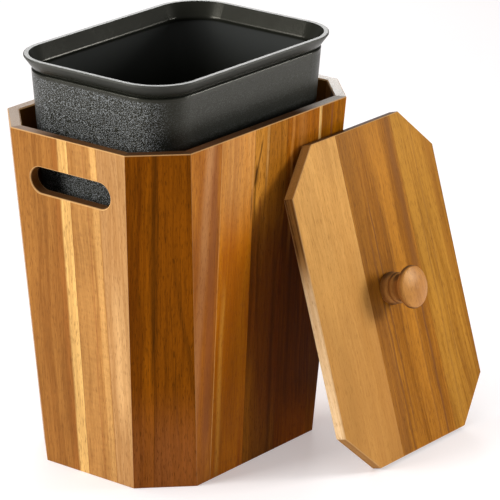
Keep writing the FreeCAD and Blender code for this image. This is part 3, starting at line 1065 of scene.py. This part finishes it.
@dataclass
class InnerBin:
    """The lift-out plastic bin. Sizes are in metres."""

    rim_height: float = 0.014
    finish: PlasticFinish = PlasticFinish()

    def build(self) -> None:
        """Dress the bin, its grain ending below the rim."""
        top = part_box("inner_bin")[1].z
        dress("inner_bin", self.finish.material("black_plastic", top - self.rim_height))


@dataclass
class Lid:
    """The lid that leans on the case: three staves, two battens, a turned knob and the screws.

    The middle is in metres, the lean in degrees and the glue lines in millimetres.
    """

    middle: tuple[float, float, float] = (0.1050, -0.13748, 0.13528)
    lean: float = 16.305
    glue_lines: tuple[float, ...] = (-28.7, 48.1)
    finishes: dict[str, BoardFinish] = field(default_factory=lambda: {
        "lid_stave_1": BoardFinish(Tone.SAND, 60.0, (
            # Painted shade, darker toward the lid's foot
            wash(-64.0, 60.0, (0.36, 0.150, 0.032), 0.75, high=-80.0, fade=220.0),
            Streak(-72.0, 2.5, (0.42, 0.18, 0.04), 0.35, 0.9, high=-20.0),
            # Painted light on the lower part of the left edge
            Streak(-99.5, 1.6, (0.74, 0.52, 0.29), 0.95, 0.6, high=20.0, fade=45.0, wander=0.1),
            # Painted shadow on the upper part of the left edge
            Streak(-100.0, 1.4, (0.085, 0.032, 0.009), 1.0, 0.3, low=65.0, fade=45.0, wander=0.0),
        ), pitch=24.0, veins=0.15, contrast=1.25),
        "lid_stave_2": BoardFinish(Tone.CHESTNUT, 61.0, (
            Streak(-25.5, 3.8, COCOA, 0.55, 0.7, high=-20.0, fade=120.0, wander=0.8),
            Streak(-19.0, 7.0, COCOA, 0.55, 0.8, high=-40.0, fade=90.0),
            Streak(-18.0, 13.0, (0.22, 0.080, 0.008), 0.50, 0.9, low=50.0, fade=60.0),
            Streak(-11.5, 1.7, COCOA, 0.75, 0.7, high=30.0),
            Streak(-5.0, 1.4, COCOA, 0.65, 0.7, low=-100.0, high=60.0),
            Streak(42.0, 6.5, COCOA, 0.55, 0.9, low=0.0),
            Streak(37.5, 1.8, COCOA, 0.75, 0.7, high=-20.0),
            Streak(27.0, 1.4, COCOA, 0.50, 0.8, high=-30.0),
            Streak(8.0, 1.2, COCOA, 0.45, 0.9, low=-30.0, high=70.0),
            Streak(14.0, 1.2, COCOA, 0.40, 0.9, low=-30.0, high=50.0),
        ), pitch=15.0, veins=0.4, contrast=1.15),
        "lid_stave_3": BoardFinish(Tone.STRAW, 62.0, (
            Streak(98.9, 1.5, (0.10, 0.036, 0.008), 0.90, 0.4, wander=0.1),
            Streak(90.0, 6.0, (0.24, 0.085, 0.010), 0.55, 0.9, low=20.0, fade=60.0),
            Streak(62.0, 1.5, COCOA, 0.35, 0.8, high=40.0),
            Streak(71.0, 1.3, COCOA, 0.35, 0.8, low=-60.0),
        ), slope=0.05, pitch=19.0, veins=0.3, contrast=1.35),
        "lid_knob": BoardFinish(
            Tone.TOFFEE, 63.0, pitch=9.0, veins=0.1, contrast=0.7, wear_and_highlight=0.0,
            # Painted shade on the knob's sides and neck
            gloss=0.22, painted_side_shade=0.65,
        ),
    })
    batten_seed: float = 70.0
    steel: SteelFinish = SteelFinish()

    def frame_of_boards(self) -> BoardFrame:
        """The frame of the lid, from the middle of its underside.

        Returns:
            The frame.
        """
        lean = math.radians(self.lean)
        along = Vector((0, math.sin(lean), math.cos(lean)))
        out = Vector((0, -math.cos(lean), math.sin(lean)))
        return BoardFrame(Vector(self.middle), Vector((1, 0, 0)), along, out)

    def build(self) -> None:
        """Dress the staves, the battens, the knob and the screws."""
        place = self.frame_of_boards()
        for node, finish in self.finishes.items():
            lines = self.glue_lines if "stave" in node else ()
            marked = replace(finish, glue_lines=lines)
            dress(node, marked.material(WOOD + node, place))
        crossways = BoardFrame(place.origin, place.along, -place.across, place.out)
        for number, node in enumerate(("lid_batten_lower", "lid_batten_upper")):
            finish = BoardFinish(Tone.HONEY, self.batten_seed + number)
            dress(node, finish.material(WOOD + node, crossways))
        steel = self.steel.material("zinc_steel")
        for node in ("lid_batten_screws", "lid_knob_screw"):
            dress(node, steel)


@dataclass(frozen=True)
class Softbox:
    """A soft rectangular studio light. Lengths are in metres and the power in watts."""

    name: str
    place: tuple[float, float, float]
    aim: tuple[float, float, float]
    size: tuple[float, float]
    power: float

    def build(self) -> None:
        """Make the light and turn it to its aim."""
        lamp = bpy.data.lights.new(self.name, "AREA")
        lamp.shape = "RECTANGLE"
        lamp.size, lamp.size_y = self.size
        lamp.energy = self.power
        holder = bpy.data.objects.new(self.name, lamp)
        holder.location = self.place
        holder.visible_camera = False
        holder.rotation_mode = "QUATERNION"
        holder.rotation_quaternion = (Vector(self.aim) - Vector(self.place)).to_track_quat("-Z", "Y")
        bpy.context.scene.collection.objects.link(holder)


@dataclass
class Studio:
    """A pale floor with a faint glow of its own, and soft light round the object. Sizes are in metres."""

    floor_side: float = 30.0
    floor_drop: float = 0.0003
    floor_cells: int = 4
    floor_colour: Colour = (0.70, 0.695, 0.695)
    floor_shade: float = 0.985
    floor_glow: Colour = (0.37, 0.345, 0.345)
    floor_rough: float = 0.6
    mottle: Lumps = Lumps((0.05, 0.05, 0.05), 1.0, weight=0.05)
    sky_colour: Colour = (1.0, 1.0, 1.0)
    sky: float = 0.22
    lights: tuple[Softbox, ...] = (
        Softbox("overhead_light", (-0.4, 0.6, 2.2), (0.0, 0.2, 0.0), (2.0, 2.0), 25.0),
        Softbox("left_light", (-1.6, 0.70, 0.80), (-0.1, 0.0, 0.15), (0.8, 0.8), 33.0),
        Softbox("right_light", (0.80, -0.92, 0.48), (0.05, -0.1, 0.18), (0.4, 0.35), 10.5),
        Softbox("rim_light", (1.55, 1.25, 0.95), (0.1, 0.05, 0.28), (0.8, 0.6), 8.0),
    )

    def build(self) -> None:
        """Make the floor, the sky and the lights."""
        mesh = bpy.data.meshes.new("floor")
        shape = bmesh.new()
        cells = self.floor_cells
        bmesh.ops.create_grid(shape, x_segments=cells, y_segments=cells, size=self.floor_side / 2)
        shape.to_mesh(mesh)
        shape.free()
        floor = bpy.data.objects.new("floor", mesh)
        floor.location.z = -self.floor_drop
        bpy.context.scene.collection.objects.link(floor)
        sheet = Sheet("pale_floor")
        mottle = sheet.noise(sheet.place, self.mottle)
        tint = tuple(c * self.floor_shade for c in self.floor_colour)
        mesh.materials.append(sheet.shade(
            Base_Color=sheet.blend(mottle, self.floor_colour, tint),
            Roughness=sheet.plus(sheet.times(mottle, self.mottle.weight), self.floor_rough),
            Emission_Color=self.floor_glow,
            Emission_Strength=1.0,
        ))
        world = bpy.data.worlds.new("studio")
        world.use_nodes = True
        sky = world.node_tree.nodes["Background"]
        sky.inputs["Color"].default_value = (*self.sky_colour, 1.0)
        sky.inputs["Strength"].default_value = self.sky
        bpy.context.scene.world = world
        bpy.context.scene.view_settings.view_transform = "Standard"
        for light in self.lights:
            light.build()
            LOG.info("light %s", light.name)


@dataclass
class PhotoCamera:
    """The camera at the photograph's place.

    Angles are in degrees, eye and clip in metres, lens and sensor in millimetres.
    """

    azimuth: float = -51.61
    elevation: float = 19.44
    roll: float = 0.35
    eye: tuple[float, float, float] = (-2.0765, -1.7232, 1.1209)
    lens: float = 241.8
    sensor: float = 36.0
    clip: Span = (0.1, 60.0)

    def build(self) -> None:
        """Make the camera and set it as the scene's own."""
        turn = math.radians(self.azimuth)
        rise = math.radians(self.elevation)
        tilt = math.radians(self.roll)
        back = Vector((math.sin(turn) * math.cos(rise), -math.cos(turn) * math.cos(rise), math.sin(rise)))
        right = Vector((math.cos(turn), math.sin(turn), 0.0))
        up = back.cross(right)
        level_right = right * math.cos(tilt) + up * math.sin(tilt)
        level_up = up * math.cos(tilt) - right * math.sin(tilt)
        data = bpy.data.cameras.new("photo_camera")
        data.sensor_fit = "HORIZONTAL"
        data.sensor_width = self.sensor
        data.lens = self.lens
        data.clip_start, data.clip_end = self.clip
        camera = bpy.data.objects.new("photo_camera", data)
        bpy.context.scene.collection.objects.link(camera)
        pose = Matrix((level_right, level_up, back)).transposed().to_4x4()
        camera.matrix_world = Matrix.Translation(Vector(self.eye)) @ pose
        bpy.context.scene.camera = camera


def main() -> None:
    """Build the studio and dress the object, one sub-assembly at a time."""
    logging.basicConfig(level=logging.INFO, format="%(name)s %(message)s")
    PhotoCamera().build()
    Studio().build()
    for assembly in (Case(), InnerBin(), Lid()):
        assembly.build()


if __name__ == "__main__":
    main()
